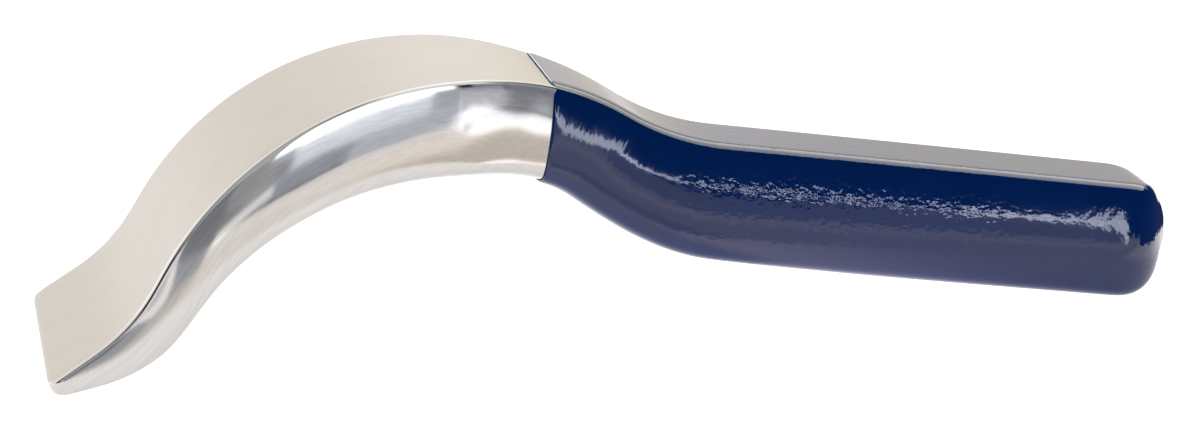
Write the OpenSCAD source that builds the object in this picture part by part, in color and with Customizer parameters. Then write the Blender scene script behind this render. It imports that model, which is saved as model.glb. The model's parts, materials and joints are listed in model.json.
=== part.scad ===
// Curved steel lever for trim and panels: a thin wedge, a tall arch and a straight handle,
// forged in one piece, with a soft plastic sleeve dipped over the handle.
//
// The forging is one loft. Its cross-section slides along a line that runs down the middle of the
// flat ground face, from the wedge's edge, up the rise, over the arch, through the neck and along
// the handle. Places on the tool are given as the distance travelled along that line.

/* [Profile of the ground face] */
// Length of the straight wedge before its bend
wedge_l = 14; // [8:0.5:24]
// Angle of the wedge face to the handle
wedge_angle = 41.7; // [34:0.1:50]
// Radius of the hollow bend between the wedge and the rise
wedge_bend_r = 43; // [30:1:60]
// Steepest angle of the rise to the handle
rise_angle = 68.6; // [60:0.1:76]
// Straight length at the top of the rise
rise_l = 5.7; // [1:0.1:14]
// Radius of the arch
arch_r = 82.7; // [70:0.1:95]
// Fall behind the arch, as an angle to the handle
fall_angle = 25.4; // [18:0.1:32]
// Radius of the hollow bend at the neck
neck_bend_r = 66.7; // [45:0.1:90]
// Straight length of the handle, from the neck's bend to the steel's butt
handle_l = 128; // [100:1:160]

/* [Width of the ground face] */
// Width at the wedge's edge
edge_w = 62.5; // [50:0.5:70]
// Width where the rise begins
rise_w = 59.7; // [48:0.1:66]
// Width halfway up the arch
shoulder_w = 54.3; // [46:0.1:60]
// Width at the crown of the arch
crown_w = 43.9; // [38:0.1:50]
// Width at the throat, halfway down the fall
throat_w = 32.2; // [28:0.1:38]
// Width where the neck's bend begins
waist_w = 23.4; // [20:0.1:28]
// Width along the handle
handle_w = 21; // [17:0.5:26]

/* [Depth below the ground face] */
// Depth at the wedge's edge
edge_t = 3.8; // [3.2:0.1:5]
// Depth halfway along the wedge
wedge_t = 7; // [5.5:0.1:8.5]
// Depth at the heel, where the wedge ends
heel_t = 9.8; // [8:0.1:12]
// Depth in the middle of the hollow bend
bend_t = 12.7; // [10:0.1:15]
// Depth where the rise begins
rise_t = 13.6; // [11:0.1:17]
// Depth halfway up the arch
shoulder_t = 21.3; // [18:0.1:25]
// Depth at the crown of the arch
crown_t = 25.7; // [22:0.1:30]
// Depth where the neck's bend begins
waist_t = 24.6; // [21:0.1:28]
// Depth along the handle
handle_t = 28.8; // [24:0.1:33]

/* [Sides and underside] */
// How far each side flares out below the wedge's edge
edge_flare = 0.2; // [0:0.1:1]
// Flare of each side at the heel
heel_flare = 1; // [0:0.1:2]
// Flare of each side where the rise begins
rise_flare = 1.8; // [0.5:0.1:3]
// Flare of each side at the crown
crown_flare = 2.4; // [1:0.1:4]
// Flare of each side along the handle
handle_flare = 4; // [2:0.1:5]
// Share of the depth at which the section is widest
belly_share = 0.79; // [0.6:0.01:0.88]
// Squareness of the lower corners, from 2 for an ellipse upwards
squareness = 3.2; // [2:0.1:5]
// Radius of the crisp edges beside the ground face
crisp_r = 0.8; // [0.3:0.1:1.5]

/* [Rounded ends] */
// Radius of the wedge's corners, seen from above
tip_corner_r = 4; // [2:0.5:7]
// Radius of the wedge's edge, seen from the side
tip_nose_r = 1.4; // [0.6:0.1:1.5]
// Radius of the steel's butt, seen from above
butt_plan_r = 15; // [10:0.5:20]
// Radius of the steel's butt, seen from the side
butt_side_r = 12; // [8:0.5:13]

/* [Dipped sleeve] */
// Distance from the crown of the arch back to the sleeve's rim
rim_past_crown = 25.2; // [12:0.1:36]
// How much further back the rim lies at the underside than on top
rim_lean = 7.5; // [0:0.1:10]
// Thickness of the sleeve at its rim
coat_rim = 0.7; // [0.4:0.1:1.2]
// Thickness of the sleeve along the handle
coat_grip = 1.3; // [0.8:0.1:2.4]
// Thickness of the sleeve at the butt, where the dip drains
coat_butt = 1.5; // [0.8:0.1:3]
// Radius of the sleeve's softened top edges
coat_edge_r = 3; // [2:0.1:5]
// Gap between the sleeve and the steel
bond_gap = 0.05; // [0.02:0.01:0.2]

/* [Hidden] */

// Spacing of the cross-sections where the tool curves, and along the straight handle
curve_pitch = 3.5;
straight_pitch = 14;
// Cross-sections round each end, and points round each stretch of half a cross-section
end_rings = 8;
edge_points = 2;
side_points = 5;
under_points = 7;
// Width of the small flat that closes the butt
butt_flat = 4;
// Length over which the sleeve's lip swells, and its share of the full thickness at the rim itself
lip_l = 0.6;
lip_share = 0.45;
// Distance from the rim at which the cross-sections stand square again
lean_fade = 30;
// Starting guess for the tilt at which the tool lies on the floor, and passes that refine it
lie_guess = 8;
lie_passes = 3;

// Arc length of a bend
function bend_l(r, turn) = r * turn * PI / 180;

// The line along the ground face as [length, curvature], drawn in the handle's own direction
legs = [
    [wedge_l, 0],
    [bend_l(wedge_bend_r, rise_angle - wedge_angle), 1 / wedge_bend_r],
    [rise_l, 0],
    [bend_l(arch_r, rise_angle + fall_angle), -1 / arch_r],
    [bend_l(neck_bend_r, fall_angle), 1 / neck_bend_r],
    [2 * handle_l, 0]
];

// Places along the line
heel_s = wedge_l;
rise_s = heel_s + legs[1][0];
arch_s = rise_s + rise_l;
// On the floor the handle droops by about this angle, so the arch is highest this far round
crown_s = arch_s + bend_l(arch_r, rise_angle - lie_guess);
waist_s = arch_s + legs[3][0];
neck_s = waist_s + legs[4][0];
butt_s = neck_s + handle_l;
shoulder_s = (rise_s + crown_s) / 2;
throat_s = (crown_s + waist_s) / 2;
rim_s = crown_s + rim_past_crown;

// Sizes at those places as [place, size]
width_marks = [
    [0, edge_w], [rise_s, rise_w], [shoulder_s, shoulder_w], [crown_s, crown_w],
    [throat_s, throat_w], [waist_s, waist_w], [neck_s, handle_w], [butt_s, handle_w]
];
depth_marks = [
    [0, edge_t], [heel_s / 2, wedge_t], [heel_s, heel_t], [(heel_s + rise_s) / 2, bend_t],
    [rise_s, rise_t], [shoulder_s, shoulder_t], [crown_s, crown_t], [waist_s, waist_t],
    [neck_s, handle_t], [butt_s, handle_t]
];
flare_marks = [
    [0, edge_flare], [heel_s, heel_flare], [rise_s, rise_flare], [crown_s, crown_flare],
    [waist_s, handle_flare], [butt_s, handle_flare]
];
coat_marks = [[rim_s, coat_rim], [neck_s, coat_grip], [butt_s, coat_butt]];

// Slope of a curve at one of its marks, taken from the marks on both sides
function slope(m, i) =
    let (a = m[max(i - 1, 0)], b = m[min(i + 1, len(m) - 1)])
    (b[1] - a[1]) / (b[0] - a[0]);

// Which stretch between two marks holds a place
function stretch_of(m, s, i = 0) = i >= len(m) - 2 || s < m[i + 1][0] ? i : stretch_of(m, s, i + 1);

// Smooth value at a place, by a cubic between the marks on either side
function smooth(m, s) =
    let (
        i = stretch_of(m, s),
        gap = m[i + 1][0] - m[i][0],
        u = min(max((s - m[i][0]) / gap, 0), 1)
    )
    (2 * pow(u, 3) - 3 * pow(u, 2) + 1) * m[i][1]
    + (pow(u, 3) - 2 * pow(u, 2) + u) * gap * slope(m, i)
    + (3 * pow(u, 2) - 2 * pow(u, 3)) * m[i + 1][1]
    + (pow(u, 3) - pow(u, 2)) * gap * slope(m, i + 1);

// Place and heading [x, z, angle] after travelling d along a leg that starts at p
function travel(p, d, curve) =
    let (a = p[2] + d * curve * 180 / PI)
    curve == 0
        ? [p[0] + d * cos(p[2]), p[1] + d * sin(p[2]), p[2]]
        : [p[0] + (sin(a) - sin(p[2])) / curve, p[1] - (cos(a) - cos(p[2])) / curve, a];

// Place and heading at a distance s along the whole line
function line_at(s, i = 0, p = [0, 0, wedge_angle]) =
    i == len(legs) - 1 || s <= legs[i][0]
        ? travel(p, s, legs[i][1])
        : line_at(s - legs[i][0], i + 1, travel(p, legs[i][0], legs[i][1]));

// How far an end of radius r draws the section in, at a distance u from that end
function draw_in(u, r) =
    let (v = min(max((r - u) / r, 0), 1))
    r * (1 - sqrt(1 - v * v));

// Half a cross-section from its top edge to the middle of the underside, as [across, down]
function half_outline(flat_w, belly_w, depth, edge_r) =
    let (
        r = min(edge_r, 0.45 * depth, 0.45 * flat_w),
        belly = max(belly_share * depth, r)
    )
    concat(
        [for (i = [0 : edge_points]) let (a = 90 * i / edge_points)
            [flat_w / 2 - r + r * sin(a), r - r * cos(a)]],
        [for (i = [1 : side_points]) let (u = i / side_points)
            [flat_w / 2 + (belly_w - flat_w) / 2 * sin(90 * u), r + (belly - r) * u]],
        [for (i = [1 : under_points]) let (a = 90 * i / under_points)
            [belly_w / 2 * pow(cos(a), 2 / squareness),
             belly + (depth - belly) * pow(sin(a), 2 / squareness)]]
    );

// Half a cross-section of the tool at s, grown outwards by grow, where past is how far the
// surface's own butt lies beyond the steel's; its top edges soften as an end draws it in
function half_at(s, grow, past, edge_r) =
    let (
        plan = draw_in(s, tip_corner_r) + draw_in(butt_s + past - s, butt_plan_r + past),
        side = draw_in(s, tip_nose_r) + draw_in(butt_s + past - s, butt_side_r + past),
        flat_w = smooth(width_marks, s) + 2 * (grow - plan),
        belly_w = flat_w + 2 * smooth(flare_marks, s),
        depth = smooth(depth_marks, s) + 2 * (grow - side),
        least = butt_flat + 2 * grow
    )
    [for (q = half_outline(max(flat_w, least), max(belly_w, least + 1), depth, edge_r + side))
        [q[0], q[1] + side - grow]];

// How far the underside of a cross-section leans back from its top
function lean_at(s) =
    abs(s - rim_s) < lean_fade ? rim_lean * (1 + cos(180 * (s - rim_s) / lean_fade)) / 2 : 0;

// Point i of half a cross-section as [x, across, z]
function skin_point(s, i, grow, past, edge_r) =
    let (p = line_at(s), q = half_at(s, grow, past, edge_r)[i])
    [p[0] + q[1] * sin(p[2]), q[0], p[1] - q[1] * cos(p[2])];

// A whole cross-section, down the near side and up the far side
function ring(s, grow, past, edge_r) =
    let (
        plain = half_at(s, grow, past, edge_r),
        last = len(plain) - 1,
        half = [for (i = [0 : last])
            skin_point(s + lean_at(s) * max(plain[i][1], 0) / plain[last][1], i, grow, past, edge_r)]
    )
    concat(
        [for (p = half) [p[0], -p[1], p[2]]],
        [for (i = [last - 1 : -1 : 0]) half[i]]
    );
ring_n = 2 * (edge_points + side_points + under_points) + 1;

// Places of cross-sections after a, up to and including b
function spread(a, b, pitch) =
    let (n = max(1, ceil((b - a) / pitch)))
    [for (i = [1 : n]) a + (b - a) * i / n];

// Places round the butt of a surface that ends past beyond the steel
function butt_places(past) =
    [for (i = [1 : end_rings])
        butt_s - butt_plan_r + (butt_plan_r + past) * sin(90 * i / end_rings)];

nose_places = [for (i = [0 : end_rings]) tip_corner_r * (1 - cos(90 * i / end_rings))];
fore_places = concat(
    spread(tip_corner_r, heel_s, curve_pitch),
    spread(heel_s, rise_s, curve_pitch),
    spread(rise_s, crown_s, curve_pitch),
    spread(crown_s, rim_s, curve_pitch)
);
grip_places = concat(
    spread(rim_s, neck_s, curve_pitch),
    spread(neck_s, butt_s - butt_plan_r, straight_pitch)
);

// Thickness of the sleeve, swelling from its lip
function coat_at(s) =
    smooth(coat_marks, s) * (lip_share + (1 - lip_share) * sqrt(min(max((s - rim_s) / lip_l, 0), 1)));

// The three skins, each a list of cross-sections from front to back
steel_rings = [
    for (s = concat(nose_places, fore_places, grip_places, butt_places(0))) ring(s, 0, 0, crisp_r)
];
bore_rings = [
    for (s = concat([rim_s], grip_places, butt_places(bond_gap)))
        ring(s, bond_gap, bond_gap, crisp_r + bond_gap)
];
coat_rings = [
    for (s = concat([rim_s, rim_s + lip_l / 4, rim_s + lip_l], grip_places, butt_places(coat_butt)))
        ring(s, coat_at(s), coat_butt, coat_edge_r)
];

// Faces between neighbouring rings of a skin whose first point is number base; the far side's
// diagonals mirror the near side's
function skin_faces(count, base, inward = false) = [
    for (j = [0 : count - 2], i = [0 : ring_n - 1])
        let (
            k = (i + 1) % ring_n,
            a = base + j * ring_n + i,
            b = base + j * ring_n + k,
            c = a + ring_n,
            d = b + ring_n,
            near = i < (ring_n - 1) / 2
        )
        each [for (f = near ? [[a, c, b], [b, c, d]] : [[a, c, d], [a, d, b]])
            inward ? [f[2], f[1], f[0]] : f]
];

// A flat face that closes a skin at one of its rings
function cap_face(first, backwards = false) = [
    [for (i = [0 : ring_n - 1]) first + (backwards ? ring_n - 1 - i : i)]
];

// The tilt at which the tool touches the floor with its wedge and with its butt
function lowest(points, tilt) =
    let (
        drop = [for (p = points) p[2] * cos(tilt) - p[0] * sin(tilt)],
        least = min(drop)
    )
    [for (i = [0 : len(points) - 1]) if (drop[i] == least) points[i]][0];
function lie_tilt(fore, aft, tilt, passes) =
    passes == 0
        ? tilt
        : let (p = lowest(fore, tilt), q = lowest(aft, tilt))
          lie_tilt(fore, aft, atan2(q[2] - p[2], q[0] - p[0]), passes - 1);
function flatten(lists) = [for (l = lists) each l];
steel_points = flatten(steel_rings);
coat_points = flatten(coat_rings);
fore_points = [for (p = steel_points) if (p[0] < line_at(rise_s)[0]) p];
tilt = lie_tilt(fore_points, coat_points, lie_guess, lie_passes);

// Ends of the tool once it lies on the floor
function turned_x(p) = p[0] * cos(tilt) + p[2] * sin(tilt);
floor_z = min([for (p = fore_points) p[2] * cos(tilt) - p[0] * sin(tilt)]);
front_x = min([for (p = steel_points) turned_x(p)]);
back_x = max([for (p = coat_points) turned_x(p)]);

// Lays the tool on the floor, centred over the origin
module lying() {
    translate([-(front_x + back_x) / 2, 0, -floor_z])
        rotate([0, tilt, 0])
            children();
}

// The forging, from the wedge's edge to the butt inside the sleeve
module spoon_body() {
    count = len(steel_rings);
    color([0.78, 0.77, 0.75])
        lying()
            polyhedron(
                points = steel_points,
                faces = concat(
                    skin_faces(count, 0),
                    cap_face(0),
                    cap_face((count - 1) * ring_n, true)
                ),
                convexity = 4
            );
}

// The dipped sleeve, open at its rim and closed round the butt
module dipped_grip() {
    outer_n = len(coat_rings);
    inner_n = len(bore_rings);
    bore = outer_n * ring_n;
    color([0.04, 0.13, 0.35])
        lying()
            polyhedron(
                points = concat(coat_points, flatten(bore_rings)),
                faces = concat(
                    skin_faces(outer_n, 0),
                    cap_face((outer_n - 1) * ring_n, true),
                    skin_faces(inner_n, bore, inward = true),
                    cap_face(bore + (inner_n - 1) * ring_n),
                    [for (i = [0 : ring_n - 1]) let (k = (i + 1) % ring_n) each
                        [[i, k, bore + i], [k, bore + k, bore + i]]]
                ),
                convexity = 6
            );
}

spoon_body();
dipped_grip();
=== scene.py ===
"""Dresses the curved steel lever: its polished forging, its dipped sleeve, and the studio round them."""
import json
import math

import bmesh
import bpy
import numpy as np
from mathutils import Matrix, Vector


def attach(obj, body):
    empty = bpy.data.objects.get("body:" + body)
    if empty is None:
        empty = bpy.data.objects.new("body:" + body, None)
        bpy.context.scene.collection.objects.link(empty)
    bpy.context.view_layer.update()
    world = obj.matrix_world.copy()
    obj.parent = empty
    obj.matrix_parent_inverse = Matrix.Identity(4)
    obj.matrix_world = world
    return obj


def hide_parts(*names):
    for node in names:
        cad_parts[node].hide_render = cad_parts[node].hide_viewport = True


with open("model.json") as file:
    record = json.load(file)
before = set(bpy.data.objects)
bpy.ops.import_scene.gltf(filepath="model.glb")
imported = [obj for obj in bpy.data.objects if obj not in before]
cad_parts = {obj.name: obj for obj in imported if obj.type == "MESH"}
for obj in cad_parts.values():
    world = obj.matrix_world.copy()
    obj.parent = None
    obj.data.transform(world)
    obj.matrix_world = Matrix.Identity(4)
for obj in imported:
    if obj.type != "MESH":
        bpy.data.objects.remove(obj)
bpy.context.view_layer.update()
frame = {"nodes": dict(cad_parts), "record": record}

MM = 0.001
BODY = "root"

# Camera: degrees, metres, and the picture's width in pixels over which the focal length is given
CAMERA_AZIMUTH = -14.859
CAMERA_ELEVATION = 19.645
CAMERA_ROLL = 1.984
CAMERA_DISTANCE = 0.7187
CAMERA_TARGET = Vector((-0.00763, 0, 0.02671))
PICTURE_WIDTH_PX = 1200
FOCAL_PX = 2800
SENSOR_WIDTH_MM = 36
NEAR_CLIP = 0.01

# Floor's left, right, front and back edges and the flag's place and size, in metres, and the flag's turn
FLOOR_EDGES = (-0.9, 0.36, -0.5, 1.6)
FLAG_CENTRE = (0.211, -0.015, 0.026)
FLAG_SIZE = (0.052, 0.13)
FLAG_TURN = math.radians(17)

# Floor's glow: what the camera sees, then each zone's tint in mirrored rays
SEEN_GLOW = (1.18, 1.16, 1.14, 1)
OPEN_GLOW = (1.18, 1.14, 1.11, 1)
BEHIND_GRIP_GLOW = (0.83, 0.76, 0.70, 1)
GRIP_START_GLOW = (2.15, 1.9, 1.82, 1)
GRIP_GLOW = (0.98, 0.93, 0.90, 1)
BUTT_GLOW = (1.7, 1.62, 1.5, 1)
FRONT_GLOW = (1.0, 0.93, 0.85, 1)
FAR_LEFT_GLOW = (0.62, 0.58, 0.54, 1)
APRON_GLOW = (0.66, 0.58, 0.50, 1)
APRON_FRONT_GLOW = (1.1, 0.99, 0.90, 1)

# World's glow: what the camera sees, the back's low and high parts, the share kept at the right, the rest
SEEN_WORLD = (1.6, 1.6, 1.6, 1)
BACK_LOW_GLOW = (1.42, 1.33, 1.22, 1)
BACK_HIGH_GLOW = (2.02, 1.96, 1.87, 1)
RIGHT_SHARE = (0.78, 0.75, 0.62)
DARK_GLOW = (0.008, 0.03, 0.07, 1)

# Cards, in metres: the two planes that they stand in, and the step that keeps overlapping ones apart
FRONT_WALL = -0.5
NEAR_WALL = -0.25
LAYER = 0.001

# Lamps: the tints that several share, and an oval's area as a share of its rectangle's
WARM_WHITE = (1, 0.99, 0.97)
LOW_LAMP_WHITE = (1, 0.99, 1.01)
STRIP_BLUE = (0.94, 0.98, 1.18)
OVAL_SHARE = math.pi / 4

# Meshes: the weld's reach, how square to an end a closing face stands, and the finer steps
WELD_REACH = 0.002 * MM
CAP_SQUARENESS = 0.999
FLAT_CUTS = 11
LONG_EDGE = 8 * MM
LONG_CUTS = 3
SMOOTH_LEVELS = 2

# Middle line: half the least width of an edge that marks it, the digits kept, and its reach past the mount
LEAST_HALF_WIDTH = 1 * MM
LINE_DIGITS = 7
NOSE_REACH = 4 * MM

# Ground face's place among the forging's two materials
GROUND_SLOT = 1

# Dip, in metres along the tool: where its ripples end, and its pebbles start, calm down and come back
RIPPLES_END = (0.180, 0.200)
PEBBLES_START = (0.184, 0.198)
PEBBLES_CALM = (0.272, 0.285)
PEBBLES_BACK = (0.300, 0.330)


# Geometry

def only(piece):
    """Selects one object and nothing else."""
    bpy.ops.object.select_all(action="DESELECT")
    piece.select_set(True)
    bpy.context.view_layer.objects.active = piece


def edit(piece, mode="FACE"):
    """Opens a piece in edit mode with nothing selected."""
    only(piece)
    bpy.ops.object.mode_set(mode="EDIT")
    bpy.ops.mesh.select_mode(type=mode)
    bpy.ops.mesh.select_all(action="DESELECT")


def close():
    """Goes back to object mode."""
    bpy.ops.object.mode_set(mode="OBJECT")


def pick_faces(piece, wanted):
    """Opens a piece with the faces that pass a test selected."""
    edit(piece)
    mesh = bmesh.from_edit_mesh(piece.data)
    for face in mesh.faces:
        face.select_set(wanted(face))
    mesh.select_flush_mode()
    bmesh.update_edit_mesh(piece.data)


def pick_edges(piece, wanted):
    """Opens a piece with the edges that pass a test selected."""
    edit(piece, "EDGE")
    mesh = bmesh.from_edit_mesh(piece.data)
    for edge in mesh.edges:
        edge.select_set(wanted(edge))
    bmesh.update_edit_mesh(piece.data)


def crosses(item):
    """Whether a face or an edge reaches across the middle plane."""
    sides = [corner.co.y for corner in item.verts]
    return min(sides) < -WELD_REACH and max(sides) > WELD_REACH


def welded_copy(node, name):
    """A CAD node's shape as a new piece, its loose triangles joined at their corners."""
    mesh = frame["nodes"][node].data.copy()
    mesh.materials.clear()
    piece = bpy.data.objects.new(name, mesh)
    bpy.context.scene.collection.objects.link(piece)
    edit(piece)
    bpy.ops.mesh.select_all(action="SELECT")
    bpy.ops.mesh.customdata_custom_splitnormals_clear()
    bpy.ops.mesh.remove_doubles(threshold=WELD_REACH)
    close()
    return piece


def ground_line(piece):
    """The middle line of the ground face as (x, z), from the nose to the butt."""
    points = set()
    for edge in piece.data.edges:
        a, b = (piece.data.vertices[i].co for i in edge.vertices)
        even = abs(a.y + b.y) < WELD_REACH
        square = abs(a.x - b.x) < WELD_REACH
        if even and square and abs(a.y) > LEAST_HALF_WIDTH:
            points.add((round(a.x, LINE_DIGITS), round(a.z, LINE_DIGITS)))
    return sorted(points)


def open_end(piece, way):
    """Deletes the flat faces that close a skin square to a direction."""
    def closing(face):
        return crosses(face) and abs(face.normal.dot(way)) > CAP_SQUARENESS
    pick_faces(piece, closing)
    bpy.ops.mesh.delete(type="FACE")
    close()


def make_quads(piece):
    """Joins the triangles in pairs, gives the ground face its own material, and cuts long faces finer."""
    edit(piece)
    bpy.ops.mesh.select_all(action="SELECT")
    bpy.ops.mesh.tris_convert_to_quads(face_threshold=math.pi, shape_threshold=math.pi)
    close()
    if len(piece.material_slots) > GROUND_SLOT:
        pick_faces(piece, lambda face: crosses(face) and face.normal.z > 0)
        piece.active_material_index = GROUND_SLOT
        bpy.ops.object.material_slot_assign()
        close()
    pick_edges(piece, crosses)
    bpy.ops.mesh.subdivide(number_cuts=FLAT_CUTS)
    close()
    pick_edges(piece, lambda edge: edge.calc_length() > LONG_EDGE)
    bpy.ops.mesh.subdivide(number_cuts=LONG_CUTS)
    close()


def close_ends(piece):
    """Fills the open ends again, each with one face."""
    edit(piece, "EDGE")
    bpy.ops.mesh.select_all(action="SELECT")
    bpy.ops.mesh.fill_holes(sides=0)
    bpy.ops.mesh.normals_make_consistent(inside=False)
    close()


def smooth(piece, levels):
    """Rounds a piece by subdivision and shades it smooth."""
    only(piece)
    step = piece.modifiers.new("finer_skin", "SUBSURF")
    step.levels = levels
    step.render_levels = levels
    bpy.ops.object.modifier_apply(modifier=step.name)
    bpy.ops.object.shade_smooth()


def straighten(piece, line):
    """Gives each point its place along, across and below the ground face, for patterns that follow it."""
    line = np.array(line)
    step = line[1:] - line[:-1]
    length = np.linalg.norm(step, axis=1)
    way = step / length[:, None]
    start = np.concatenate([[0], np.cumsum(length)[:-1]])
    co = np.zeros(len(piece.data.vertices) * 3)
    piece.data.vertices.foreach_get("co", co)
    co = co.reshape(-1, 3)
    best = np.full(len(co), np.inf)
    lie = np.zeros((len(co), 3))
    for k in range(len(step)):
        reach = co[:, [0, 2]] - line[k]
        along = reach @ way[k]
        low = -np.inf if k == 0 else 0
        high = np.inf if k == len(step) - 1 else length[k]
        near = np.clip(along, low, high)
        miss = np.hypot(*(reach - near[:, None] * way[k]).T)
        below = reach[:, 0] * way[k][1] - reach[:, 1] * way[k][0]
        closer = miss < best
        best[closer] = miss[closer]
        lie[closer] = np.stack([start[k] + near, co[:, 1], below], axis=1)[closer]
    slot = piece.data.attributes.new("lie", "FLOAT_VECTOR", "POINT")
    slot.data.foreach_set("vector", lie.ravel())


# Shading

class Field:
    """What a node gives out, which takes part in plain arithmetic."""

    def __init__(self, finish, socket):
        self.finish = finish
        self.socket = socket

    def math(self, operation, *values):
        """A Math node on these values."""
        return self.finish.node("ShaderNodeMath", {"operation": operation}, dict(enumerate(values)))

    def __add__(self, other):
        return self.math("ADD", self, other)

    def __sub__(self, other):
        return self.math("SUBTRACT", self, other)

    def __rsub__(self, other):
        return self.math("SUBTRACT", other, self)

    def __mul__(self, other):
        return self.math("MULTIPLY", self, other)

    __radd__ = __add__
    __rmul__ = __mul__

    def ease(self, low, high):
        """0 below low, 1 above high, and smooth between them."""
        settings = {"interpolation_type": "SMOOTHSTEP"}
        values = {"Value": self, "From Min": low, "From Max": high}
        return self.finish.node("ShaderNodeMapRange", settings, values)


class Finish:
    """A material, or the world, while its nodes are being laid."""

    def __init__(self, owner):
        owner.use_nodes = True
        self.owner = owner
        self.tree = owner.node_tree
        self.tree.nodes.clear()

    def node(self, kind, settings=None, inputs=None, out=0):
        """Adds a node, its settings, then its inputs as values or links, and gives one of its outputs."""
        node = self.tree.nodes.new(kind)
        for name, value in (settings or {}).items():
            setattr(node, name, value)
        for name, value in (inputs or {}).items():
            if isinstance(value, Field):
                self.tree.links.new(value.socket, node.inputs[name])
            else:
                node.inputs[name].default_value = value
        return Field(self, node.outputs[out]) if node.outputs else None

    def scaled(self, vector, scale):
        """A vector times another, part by part."""
        return self.node("ShaderNodeVectorMath", {"operation": "MULTIPLY"}, {0: vector, 1: scale})

    def lie(self):
        """The place along, across and below the ground face, in metres."""
        return self.node("ShaderNodeAttribute", {"attribute_name": "lie"}, out="Vector")

    def part(self, vector, axis):
        """One part of a vector."""
        return self.node("ShaderNodeSeparateXYZ", None, {0: vector}, out=axis)

    def noise(self, vector, detail, roughness):
        """Soft noise from 0 to 1 over a vector that is already scaled."""
        values = {"Vector": vector, "Scale": 1, "Detail": detail, "Roughness": roughness}
        return self.node("ShaderNodeTexNoise", {"noise_dimensions": "3D"}, values)

    def blend(self, share, first, second):
        """A colour between two."""
        values = {0: share, 6: first, 7: second}
        return self.node("ShaderNodeMix", {"data_type": "RGBA"}, values, out=2)

    def bump(self, height, distance):
        """A normal from a height, of which 1 stands for this many metres."""
        return self.node("ShaderNodeBump", None, {"Strength": 1, "Distance": distance, "Height": height})

    def surface(self, **values):
        """Ends a material in one Principled shader; words in names are joined by underscores."""
        inputs = {name.replace("_", " "): value for name, value in values.items()}
        shader = self.node("ShaderNodeBsdfPrincipled", None, inputs)
        self.node("ShaderNodeOutputMaterial", None, {"Surface": shader})
        return self.owner


def new_finish(name):
    """A new material to lay nodes in."""
    return Finish(bpy.data.materials.new(name))


# Finishes, whose patterns are scaled per metre along, across and below the ground face

def ground_steel():
    """The satin ground face: fine lines along the tool under a slightly uneven sheen."""
    finish = new_finish("satin_ground_steel")
    lie = finish.lie()
    lines = finish.noise(finish.scaled(lie, (60, 5200, 5200)), 3, 0.6)
    cloud = finish.noise(finish.scaled(lie, (60, 90, 90)), 3, 0.55)
    duller = (0.410, 0.398, 0.384, 1)
    brighter = (0.430, 0.418, 0.405, 1)
    tone = finish.blend(cloud.ease(0.3, 0.7), duller, brighter)
    return finish.surface(
        Base_Color=tone,
        Metallic=1.0,
        Roughness=0.38 + 0.04 * cloud + 0.06 * lines,
        Normal=finish.bump(lines, 0.002 * MM),
    )


def polished_steel():
    """The polished sides and back: buffed along the tool, with faint streaks and waves."""
    finish = new_finish("polished_steel")
    lie = finish.lie()
    streaks = finish.noise(finish.scaled(lie, (22, 1500, 1500)), 4, 0.6)
    cloud = finish.noise(finish.scaled(lie, (40, 120, 120)), 3, 0.5)
    waves = finish.noise(finish.scaled(lie, (38, 95, 95)), 1, 0.4)
    duller = (0.445, 0.440, 0.438, 1)
    brighter = (0.495, 0.490, 0.488, 1)
    tone = finish.blend(streaks.ease(0.25, 0.75), duller, brighter)
    return finish.surface(
        Base_Color=tone,
        Metallic=1.0,
        Roughness=0.05 + 0.04 * cloud + 0.03 * streaks,
        Normal=finish.bump(0.04 * streaks + waves, 0.035 * MM),
    )


def dipped_plastic():
    """The navy dip: glossy, rippled at the neck and pebbled along the handle, less so near the butt."""
    finish = new_finish("navy_dip")
    lie = finish.lie()
    along = finish.part(lie, "X")
    pebble = finish.noise(finish.scaled(lie, (560, 600, 600)), 1.5, 0.5)
    ripple = finish.noise(finish.scaled(lie, (430, 110, 110)), 1.5, 0.5)
    sag = finish.noise(finish.scaled(lie, (110, 60, 60)), 2, 0.4)
    handle = along.ease(*PEBBLES_START)
    calmer_end = 1 - 0.7 * along.ease(*PEBBLES_CALM)
    butt = 0.5 * along.ease(*PEBBLES_BACK)
    pebbles = (pebble - 0.5) * (0.04 + 0.42 * (handle * calmer_end + butt))
    neck = 1 - along.ease(*RIPPLES_END)
    height = 0.5 + (pebbles + 0.42 * ripple * neck) + 0.25 * sag
    deeper = (0.0004, 0.0150, 0.102, 1)
    paler = (0.0005, 0.0170, 0.112, 1)
    tone = finish.blend(sag.ease(0.3, 0.7), deeper, paler)
    return finish.surface(
        Base_Color=tone,
        Roughness=0.045 + 0.03 * sag,
        IOR=1.5,
        Normal=finish.bump(height, 0.125 * MM),
    )


# Stage

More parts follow.
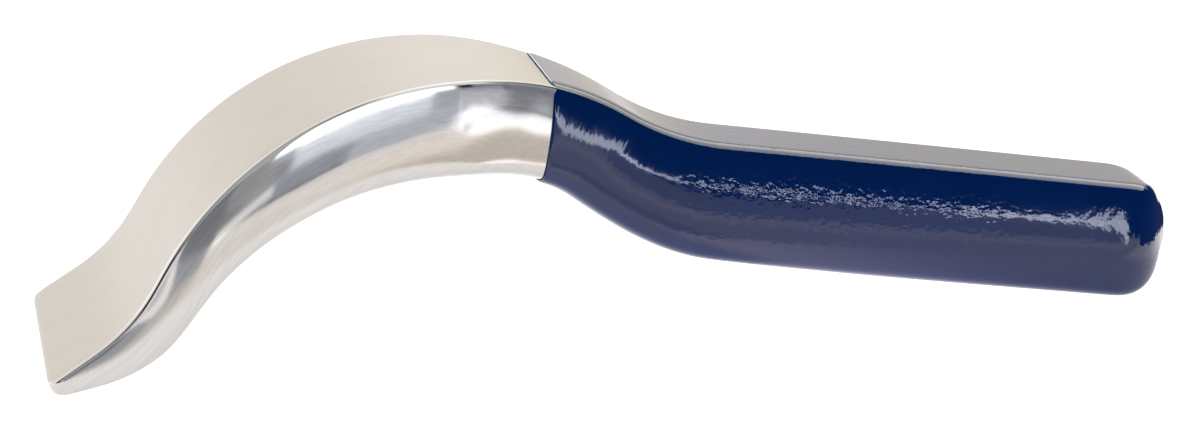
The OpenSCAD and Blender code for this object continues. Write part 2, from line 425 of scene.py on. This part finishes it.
def pale_floor():
    """The pale floor under the tool: plain to the camera, with tinted zones for mirrored rays alone."""
    left, right, front, back = FLOOR_EDGES
    bpy.ops.object.select_all(action="DESELECT")
    bpy.ops.mesh.primitive_plane_add(size=1, location=((left + right) / 2, (front + back) / 2, 0))
    floor = bpy.context.object
    floor.name = "floor"
    floor.scale = (right - left, back - front, 1)
    bpy.ops.object.transform_apply(location=True, scale=True)
    finish = new_finish("pale_floor")
    place = finish.node("ShaderNodeTexCoord", out="Object")
    across = finish.part(place, "X")
    deep = finish.part(place, "Y")
    leftward = across * -1
    forward = deep * -1
    slanted = across - 0.1 * deep
    beside_grip = slanted.ease(0.03, 0.05)
    under_grip = beside_grip * (1 - deep.ease(0.02, 0.05))
    behind_grip = across.ease(0.17, 0.21) * deep.ease(0.35, 0.5)
    far_left = leftward.ease(0.13, 0.18) * forward.ease(0.14, 0.26)
    open_table = finish.blend(behind_grip, OPEN_GLOW, BEHIND_GRIP_GLOW)
    grip_table = finish.blend(slanted.ease(0.03, 0.14), GRIP_START_GLOW, GRIP_GLOW)
    butt_table = finish.blend(across.ease(0.165, 0.195), grip_table, BUTT_GLOW)
    near_table = finish.blend(under_grip, open_table, butt_table)
    front_table = finish.blend(far_left, FRONT_GLOW, FAR_LEFT_GLOW)
    table = finish.blend(forward.ease(0.16, 0.24), near_table, front_table)
    apron = finish.blend(forward.ease(0.20, 0.32), APRON_GLOW, APRON_FRONT_GLOW)
    mirrored = finish.blend(beside_grip * forward.ease(0.09, 0.11), table, apron)
    seen = finish.node("ShaderNodeLightPath", out="Is Camera Ray")
    floor.data.materials.append(finish.surface(
        Base_Color=(0.6, 0.59, 0.58, 1),
        Roughness=0.9,
        Emission_Color=finish.blend(seen, mirrored, SEEN_GLOW),
        Emission_Strength=1,
    ))


def lamp(name, piece, centre, aim, width, height, radiance, colour=(1, 1, 1)):
    """A soft rectangular lamp of an even radiance, which lights one piece and isn't seen by the camera."""
    light = bpy.data.lights.new(name, "AREA")
    light.shape = "RECTANGLE"
    light.size = width
    light.size_y = height
    light.energy = radiance * math.pi * width * height
    light.color = colour
    holder = bpy.data.objects.new(name, light)
    bpy.context.scene.collection.objects.link(holder)
    aimed = (aim - centre).to_track_quat("-Z", "Y").to_matrix().to_4x4()
    holder.matrix_world = Matrix.Translation(centre) @ aimed
    holder.visible_camera = False
    group = bpy.data.collections.new(name + "_reach")
    group.objects.link(piece)
    holder.light_linking.receiver_collection = group
    return holder


def card(name, piece, left, right, low, high, radiance, colour=(1, 1, 1), front=FRONT_WALL, droop=0):
    """An upright lamp that faces straight back, by its edges in metres, its droop in degrees."""
    centre = Vector(((left + right) / 2, front, (low + high) / 2))
    straight_back = centre + Vector((0, 1, 0))
    holder = lamp(name, piece, centre, straight_back, right - left, high - low, radiance, colour)
    turn = Matrix.Rotation(math.radians(droop), 4, "Y")
    about_centre = Matrix.Translation(centre) @ turn @ Matrix.Translation(-centre)
    holder.matrix_world = about_centre @ holder.matrix_world
    return holder


def studio_light(spoon, sleeve):
    """Warm white behind and to the left, near black elsewhere, and plain white to the camera itself."""
    world = bpy.data.worlds.new("studio")
    bpy.context.scene.world = world
    finish = Finish(world)
    way = finish.node("ShaderNodeTexCoord", out="Generated")
    across = finish.part(way, "X")
    height = finish.part(way, "Z")
    leftward = across.math("MAXIMUM", across * -0.9, 0.0)
    behind = (finish.part(way, "Y") + leftward).ease(0.22, 0.5)
    uneven = (across * (height - 0.17)).ease(-0.12, 0.12)
    back = finish.blend(uneven, BACK_LOW_GLOW, BACK_HIGH_GLOW)
    dimmed_back = finish.scaled(back, RIGHT_SHARE)
    warm_white = finish.blend(across.ease(0.25, 0.45), back, dimmed_back)
    mirrored = finish.blend(behind, DARK_GLOW, warm_white)
    seen = finish.node("ShaderNodeLightPath", out="Is Camera Ray")
    shown = finish.blend(seen, mirrored, SEEN_WORLD)
    backdrop = finish.node("ShaderNodeBackground", None, {"Color": shown, "Strength": 1})
    finish.node("ShaderNodeOutputWorld", None, {"Surface": backdrop})
    spoon_lights(spoon)
    sleeve_lights(sleeve)


def spoon_lights(spoon):
    """The cards and lamps that the steel mirrors. A card has edges, radiance, tint, plane and droop."""
    card("front_softbox", spoon, -0.08, 0.165, 0.114, 0.26, 4)
    card("softbox_end", spoon, 0.165, 0.215, 0.128, 0.26, 2.8)
    card("soft_edge_card", spoon, -0.04, 0.165, 0.080, 0.114, 1.35, (0.94, 0.98, 1.04))
    card("end_hem_card", spoon, 0.165, 0.235, 0.084, 0.128, 0.7, (0.98, 0.99, 1.03))
    card("dim_card", spoon, -0.07, 0.05, 0.038, 0.080, 0.55, (0.95, 0.98, 1.05))
    card("middle_card", spoon, 0.05, 0.24, 0.031, 0.084, 0.85, (0.97, 0.99, 1.05))
    card("horizon_card", spoon, -0.17, 0.26, -0.001, 0.031, 1.35, (1.05, 0.98, 0.9))
    card("left_card", spoon, -0.36, -0.07, 0.032, 0.125, 0.32, (1.05, 1.0, 0.97))
    fill_wall = FRONT_WALL + 6 * LAYER
    card("left_fill_card", spoon, -0.155, -0.07, 0.062, 0.125, 0.2, (1.04, 1.0, 0.98), fill_wall)
    card("left_hem_card", spoon, -0.275, -0.17, -0.001, 0.032, 0.6)
    end_wall = FRONT_WALL + 9 * LAYER
    card("left_end_card", spoon, -0.40, -0.255, -0.02, 0.06, 1.0, (1.08, 1.0, 0.94), end_wall, -15)
    card("far_left_card", spoon, -0.45, -0.09, 0.125, 0.30, 0.75, WARM_WHITE)
    card("far_left_upper_card", spoon, -0.45, -0.09, 0.302, 0.90, 0.9, WARM_WHITE)
    patch_wall = FRONT_WALL + 3 * LAYER
    card("patch_card", spoon, -0.165, -0.06, 0.034, 0.056, 1.05, (1, 0.98, 0.94), patch_wall, -16)
    card("tip_shade_card", spoon, -0.07, -0.04, 0.080, 0.114, 0.45, (0.98, 0.99, 1.02))
    card("upper_card", spoon, -0.08, 0.50, 0.262, 0.90, 1.2, WARM_WHITE)
    lamp("ceiling", spoon, Vector((0.3, -0.1, 0.8)), Vector((0.3, -0.1, 0)), 0.8, 0.9, 1.2, WARM_WHITE)
    low_lamps(spoon)
    card("glow_card", spoon, 0.085, 0.205, 0.053, 0.078, 0.32, LOW_LAMP_WHITE, NEAR_WALL - 2 * LAYER, 8)
    card("rim_card", spoon, 0.088, 0.200, 0.050, 0.095, 0.58, (0.98, 0.98, 1.03), NEAR_WALL - 4 * LAYER)
    card("shade_card", spoon, 0.200, 0.30, 0.040, 0.100, 0.35, (0.98, 0.97, 1.0), NEAR_WALL)
    card("brow_card", spoon, 0.12, 0.42, 0.100, 0.32, 0.5, front=NEAR_WALL)


def low_lamps(spoon):
    """Three oval lamps, one before another, whose light adds up to a spot with soft ends."""
    steps = ((0.000, 0.012, 0.062, 0.6), (0.010, 0.020, 0.058, 0.6), (0.018, 0.028, 0.056, 0.9))
    for number, (inset, low, high, radiance) in enumerate(steps):
        left = 0.070 + inset
        right = 0.216 - inset
        wall = NEAR_WALL + 2 * number * LAYER
        disc = card(f"low_lamp_{number}", spoon, left, right, low, high, radiance, LOW_LAMP_WHITE, wall, 13)
        disc.data.shape = "ELLIPSE"
        disc.data.energy *= OVAL_SHARE


def sleeve_lights(sleeve):
    """The cards and lamps that the dip mirrors, given in the same way."""
    card("strip_lamp", sleeve, 0.20, 0.305, 0.0970, 0.1040, 9.5, STRIP_BLUE, droop=15)
    card("strip_lamp_end", sleeve, 0.305, 0.387, 0.074, 0.086, 9.5, STRIP_BLUE, droop=6.3)
    card("streak_lamp", sleeve, 0.364, 0.484, 0.022, 0.068, 6.2, (0.93, 0.98, 1.14), droop=53)
    grey_wall = FRONT_WALL + 2 * LAYER
    card("grey_card", sleeve, 0.15, 0.46, 0.010, 0.078, 0.8, (0.98, 0.98, 0.96), grey_wall, 1)
    card("table_card", sleeve, 0.15, 0.60, -0.02, 0.012, 1.25, (1, 0.97, 0.95))
    apron = Vector((0.20, -0.22, 0.002))
    lamp("apron_card", sleeve, apron, Vector((0.20, -0.22, 1)), 0.30, 0.26, 0.28, (1, 1, 0.95))
    lip = Vector((-0.025, 0, 0.068))
    lamp("lip_lamp", sleeve, Vector((-0.14, 0.744, 0.27)), lip, 0.48, 0.40, 2.6)
    ridge = Vector((0.62, 0.24, 0.55))
    lamp("ridge_lamp", sleeve, ridge, Vector((0.62, 0.24, 0)), 0.75, 0.74, 4.0, (1, 0.97, 0.84))


def dark_flag():
    """A black flag past the butt, which only mirrored rays meet."""
    bpy.ops.object.select_all(action="DESELECT")
    bpy.ops.mesh.primitive_plane_add(size=1, location=FLAG_CENTRE, rotation=(0, math.pi / 2, FLAG_TURN))
    flag = bpy.context.object
    flag.name = "dark_flag"
    flag.scale = (*FLAG_SIZE, 1)
    bpy.ops.object.transform_apply(location=True, rotation=True, scale=True)
    finish = new_finish("flag_black")
    flag.data.materials.append(finish.surface(Base_Color=(0.01, 0.01, 0.012, 1), Roughness=1.0))
    flag.visible_camera = False
    flag.visible_diffuse = False
    flag.visible_shadow = False


def picture_camera():
    """The camera of the photograph: a long lens, a little above the tool and to its left."""
    a = math.radians(CAMERA_AZIMUTH)
    e = math.radians(CAMERA_ELEVATION)
    back = Vector((math.sin(a) * math.cos(e), -math.cos(a) * math.cos(e), math.sin(e)))
    right = Vector((math.cos(a), math.sin(a), 0))
    turn = Matrix.Rotation(math.radians(CAMERA_ROLL), 3, back)
    right = turn @ right
    up = back.cross(right)
    lens = bpy.data.cameras.new("picture_camera")
    lens.sensor_width = SENSOR_WIDTH_MM
    lens.sensor_fit = "HORIZONTAL"
    lens.lens = FOCAL_PX / PICTURE_WIDTH_PX * SENSOR_WIDTH_MM
    lens.clip_start = NEAR_CLIP
    holder = bpy.data.objects.new("picture_camera", lens)
    bpy.context.scene.collection.objects.link(holder)
    axes = Matrix((right, up, back)).transposed().to_4x4()
    holder.matrix_world = Matrix.Translation(CAMERA_TARGET + back * CAMERA_DISTANCE) @ axes
    bpy.context.scene.camera = holder


# Pieces

def finish_piece(piece, node):
    """Puts a finished piece in its CAD node's place."""
    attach(piece, BODY)
    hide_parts(node)


def forged_spoon(line, nose_way, butt_way):
    """The forging, with its ground face apart from its polished sides."""
    piece = welded_copy("spoon_body", "forged_spoon")
    piece.data.materials.append(polished_steel())
    piece.data.materials.append(ground_steel())
    open_end(piece, nose_way)
    open_end(piece, butt_way)
    make_quads(piece)
    close_ends(piece)
    smooth(piece, SMOOTH_LEVELS)
    straighten(piece, line)
    finish_piece(piece, "spoon_body")
    return piece


def dipped_sleeve(line, butt_way):
    """The dip, closed round the butt, with its bore."""
    piece = welded_copy("dipped_grip", "dipped_sleeve")
    piece.data.materials.append(dipped_plastic())
    open_end(piece, butt_way)
    make_quads(piece)
    close_ends(piece)
    smooth(piece, SMOOTH_LEVELS)
    straighten(piece, line)
    finish_piece(piece, "dipped_grip")
    return piece


def main():
    """Makes the pieces, then the stage."""
    bpy.context.scene.view_settings.view_transform = "Standard"
    rest_face = frame["record"]["mounts"][0]
    up_x, _, up_z = rest_face["axis"]
    nose_way = Vector((up_z, 0, -up_x))
    plain = welded_copy("spoon_body", "line_finder")
    line = ground_line(plain)
    bpy.data.objects.remove(plain)
    steps = [(math.dist(a, b), a, b) for a, b in zip(line, line[1:])]
    longest, a, b = max(steps)
    butt_way = Vector((b[0] - a[0], 0, b[1] - a[1])).normalized()
    # The line leaves off the rounding at the nose and at the butt, and runs on straight there
    nose_x = rest_face["pos_m"][0] - NOSE_REACH
    line = [point for point in line if nose_x < point[0] < a[0] + longest / 2]
    spoon = forged_spoon(line, nose_way, butt_way)
    sleeve = dipped_sleeve(line, butt_way)
    pale_floor()
    dark_flag()
    studio_light(spoon, sleeve)
    picture_camera()


main()
